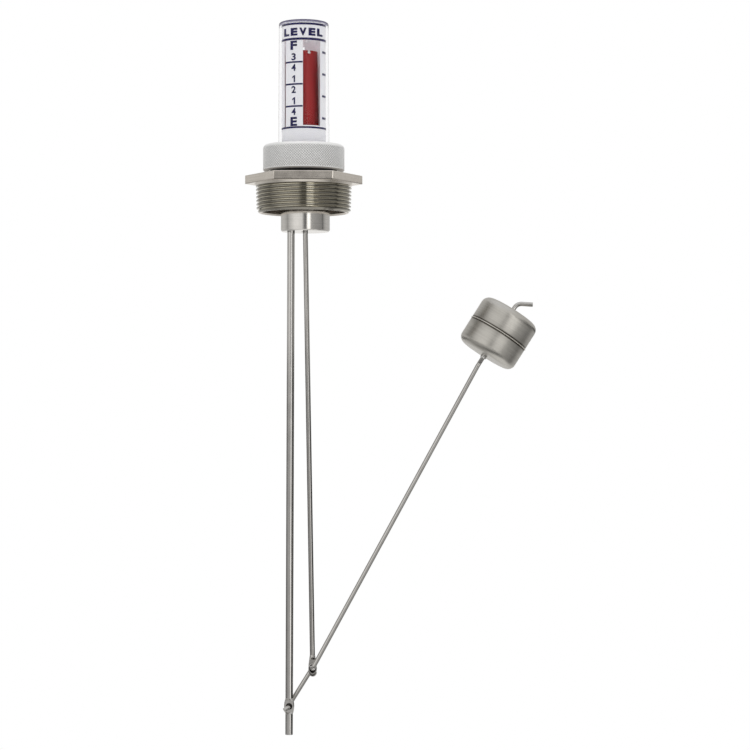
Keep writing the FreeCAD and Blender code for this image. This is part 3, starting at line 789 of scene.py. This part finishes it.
def buildPrint():
    whole = bmesh.new()
    for turn in printPlan["turns"]:
        for character, kind, azimuth, height in printMarks():
            letter = letterMesh(character, kind)
            wrapLetter(letter, azimuth + turn, height)
            data = bpy.data.meshes.new("letter")
            letter.to_mesh(data)
            letter.free()
            whole.from_mesh(data)
            bpy.data.meshes.remove(data)
    bmesh.ops.recalc_face_normals(whole, faces=whole.faces)
    finishPiece("scalePrint", whole, [darkInk], "head", (), printPlan["sharp"])


# the printed film reaches a little above the foot of each window
sillPlan = {"radius": sleeveHigh.x - 0.02, "wall": 0.36, "start": 0.0, "end": 48.5, "foot": 33.4,
            "top": 35.5, "steps": 30, "sharp": 40}


def buildWindowSills():
    plan = sillPlan
    mesh = bmesh.new()
    inside = plan["radius"] - plan["wall"]
    outlineOf(mesh, [(inside, plan["foot"]), (plan["radius"], plan["foot"]), (plan["radius"], plan["top"]),
                     (inside, plan["top"])])
    turnRound(mesh, mesh.verts, plan["start"] - 90)
    bmesh.ops.spin(mesh, geom=mesh.verts[:] + mesh.edges[:], cent=(0, 0, 0), axis=(0, 0, 1),
                   angle=math.radians(plan["end"] - plan["start"]), steps=plan["steps"], use_merge=False)
    bmesh.ops.holes_fill(mesh, edges=openEdges(mesh.edges), sides=4)
    front = mesh.verts[:] + mesh.edges[:] + mesh.faces[:]
    for turn in printPlan["turns"][1:]:
        made = bmesh.ops.duplicate(mesh, geom=front)["geom"]
        turnRound(mesh, newVerts(made), turn)
    bmesh.ops.recalc_face_normals(mesh, faces=mesh.faces)
    finishPiece("windowSills", mesh, [whiteFilm], "head", (), plan["sharp"])


# float, two drawn cups welded at mid height
floatSpin = jointNamed("float_spin")
floatPlan = {"centre": floatSpin["pos_m"], "axis": floatSpin["axis"], "radius": 19.55, "height": 32.8,
             "round": 4.8, "roundSteps": (12, 6), "wall": 0.7, "tube": 1.95, "steps": 192, "groove": 0.32,
             "grooveFoot": 0.30, "grooveEdge": 0.95, "shadeEdge": 1.4, "sideHold": 5.0, "shadeCrest": 0.78,
             "hair": 0.01, "sharp": 40}
beadPlan = {"half": 0.36, "height": 0.38, "sides": 10, "ripples": 110, "ripple": 0.035, "steps": 440,
            "sharp": 50}


def floatMatrix():
    tilt = Vector(floatPlan["axis"]).to_track_quat("Z", "Y").to_matrix().to_4x4()
    return Matrix.Translation(Vector(floatPlan["centre"])) @ tilt


def buildFloatCup(name, side, node):
    plan = floatPlan
    mesh = bmesh.new()
    crest = mesh.verts.layers.float.new("crest")
    end = side * plan["height"] / 2
    root = plan["radius"] - plan["groove"]
    inside = plan["radius"] - plan["wall"]
    ceiling = end - side * plan["wall"]
    corners = outlineOf(mesh, [
        (inside, 0), (root, 0), (root, side * plan["grooveFoot"]),
        (plan["radius"], side * plan["grooveEdge"]), (plan["radius"], side * plan["shadeEdge"]),
        (plan["radius"], side * plan["sideHold"]), (plan["radius"], end), (plan["tube"], end),
        (plan["tube"], ceiling), (inside, ceiling)])
    outerSteps, innerSteps = plan["roundSteps"]
    roundCorner(mesh, corners[6], plan["round"], outerSteps)
    roundCorner(mesh, corners[9], plan["round"] - plan["wall"], innerSteps)
    spinOutline(mesh, plan["steps"])
    # painted shade along the seam: black in the groove, darker in the band beside it
    for vert in mesh.verts:
        away = abs(vert.co.z) / mm - plan["hair"]
        if away < plan["grooveEdge"]:
            vert[crest] = 0.0
        elif away < plan["shadeEdge"]:
            vert[crest] = plan["shadeCrest"]
        else:
            vert[crest] = 1.0
    bmesh.ops.transform(mesh, matrix=floatMatrix(), verts=mesh.verts)
    finishPiece(name, mesh, [floatSteel], "float", [node], plan["sharp"])


def buildWeldBead():
    plan = beadPlan
    mesh = bmesh.new()
    bmesh.ops.create_circle(mesh, segments=plan["sides"], radius=1.0)
    standUp(mesh)
    bmesh.ops.scale(mesh, verts=mesh.verts, vec=(plan["height"] * mm, 1.0, plan["half"] * mm))
    bmesh.ops.translate(mesh, verts=mesh.verts, vec=(floatPlan["radius"] * mm, 0, 0))
    spinOutline(mesh, plan["steps"])
    for vert in mesh.verts:
        if radiusOf(vert) > floatPlan["radius"] * mm:
            turn = math.atan2(vert.co.y, vert.co.x) * plan["ripples"]
            setRadius(vert, radiusOf(vert) + plan["ripple"] * mm * math.sin(turn))
    bmesh.ops.transform(mesh, matrix=floatMatrix(), verts=mesh.verts)
    finishPiece("weldBead", mesh, [beadSteel], "float", (), plan["sharp"])


# the operating rod's eye, pressed flat and closed round the crank pin; each loop from the rim inwards has
# its share of the way out from the hole, its bulge and its unshaded share (painted shadow at the hole and
# rim)
eyePlan = {"pin": (5.584, 0.0, -304.785), "hole": 1.66, "halfWidth": 2.66, "half": 0.84, "foot": 4.9,
           "top": 3.4, "steps": 48, "hair": 0.01, "sharp": 40,
           "loops": [(1.0, 0.0, 0.3), (0.7, 0.30, 1.0), (0.5, 0.35, 0.8), (0.36, 0.33, 0.0), (0.0, 0.2, 0.0)]}


def isRim(edge):
    reach = min(math.hypot(vert.co.x, vert.co.z) for vert in edge.verts) / mm
    return edge.is_boundary and reach > eyePlan["hole"] + eyePlan["hair"]


# a round loop becomes the eye's long outline
def stretchEye(vert):
    plan = eyePlan
    way = Vector((vert.co.x, vert.co.z)) / (plan["hole"] * mm)
    share = way.length - 1
    way.normalize()
    rim = Vector((plan["halfWidth"] * way.x, way.y * (plan["top"] if way.y > 0 else plan["foot"])))
    vert.co.x, vert.co.z = (way * plan["hole"]).lerp(rim, share) * mm


def buildRodEye():
    plan = eyePlan
    mesh = bmesh.new()
    crest = mesh.verts.layers.float.new("crest")
    bmesh.ops.create_circle(mesh, segments=plan["steps"], radius=plan["hole"] * mm)
    standUp(mesh)
    verts, edges = mesh.verts[:], mesh.edges[:]
    grown = 1.0
    for place, (share, bulge, unshaded) in enumerate(plan["loops"]):
        if place > 0:
            made = bmesh.ops.extrude_edge_only(mesh, edges=edges)["geom"]
            verts, edges = newVerts(made), openEdges(made)
        bmesh.ops.scale(mesh, verts=verts, vec=((1 + share) / grown, 1, (1 + share) / grown))
        grown = 1 + share
        for vert in verts:
            vert.co.y = -(plan["half"] + bulge) * mm
            vert[crest] = unshaded
    for vert in mesh.verts:
        stretchEye(vert)
    back = bmesh.ops.duplicate(mesh, geom=mesh.verts[:] + mesh.edges[:] + mesh.faces[:])["geom"]
    bmesh.ops.scale(mesh, verts=newVerts(back), vec=(1, -1, 1))
    bmesh.ops.bridge_loops(mesh, edges=[e for e in mesh.edges if isRim(e)])
    bmesh.ops.bridge_loops(mesh, edges=openEdges(mesh.edges))
    bmesh.ops.recalc_face_normals(mesh, faces=mesh.faces)
    bmesh.ops.translate(mesh, verts=mesh.verts, vec=Vector(plan["pin"]) * mm)
    finishPiece("rodEye", mesh, [eyeSteel], "indicator", (), plan["sharp"])


# thin near-black washer behind the support rod's eye; its dark finish is painted shade seen through the eye's
# hole
armSwing = jointNamed("arm_swing")
washerPlan = {"inner": 1.2, "outer": 2.7, "half": 0.14, "behind": 1.85, "steps": 40, "sharp": 40}


def buildPivotWasher():
    plan = washerPlan
    mesh = bmesh.new()
    outlineOf(mesh, [(plan["inner"], -plan["half"]), (plan["outer"], -plan["half"]),
                     (plan["outer"], plan["half"]), (plan["inner"], plan["half"])])
    spinOutline(mesh, plan["steps"])
    standUp(mesh)
    place = Vector(armSwing["pos_m"]) + Vector((0, plan["behind"] * mm, 0))
    bmesh.ops.translate(mesh, verts=mesh.verts, vec=place)
    finishPiece("pivotWasher", mesh, [holeShadeSteel], "arm", (), plan["sharp"])


buildLockRing()
buildHexBushing()
buildSightCap()
buildPrint()
buildWindowSills()
buildFloatCup("floatUpperCup", 1, "float_upper_cup")
buildFloatCup("floatLowerCup", -1, "float_lower_cup")
buildWeldBead()
buildRodEye()
buildPivotWasher()


# carried-over pieces get their finishes
wornBy = {
    "bushing_gasket": blackRubber, "cap_gasket": blackRubber, "gauge_hub": hubAluminium,
    "scale_sleeve": whiteFilm, "scale_marks": darkInk, "level_indicator": redPlastic, "push_nut": rodSteel,
    "operating_rod": operatingSteel, "support_rod": rodSteel, "float_arm": wireSteel, "float_tube": rodSteel,
}
for node, material in wornBy.items():
    nodes[node].data.materials.clear()
    nodes[node].data.materials.append(material)
print("carried-over pieces finished:", len(wornBy))
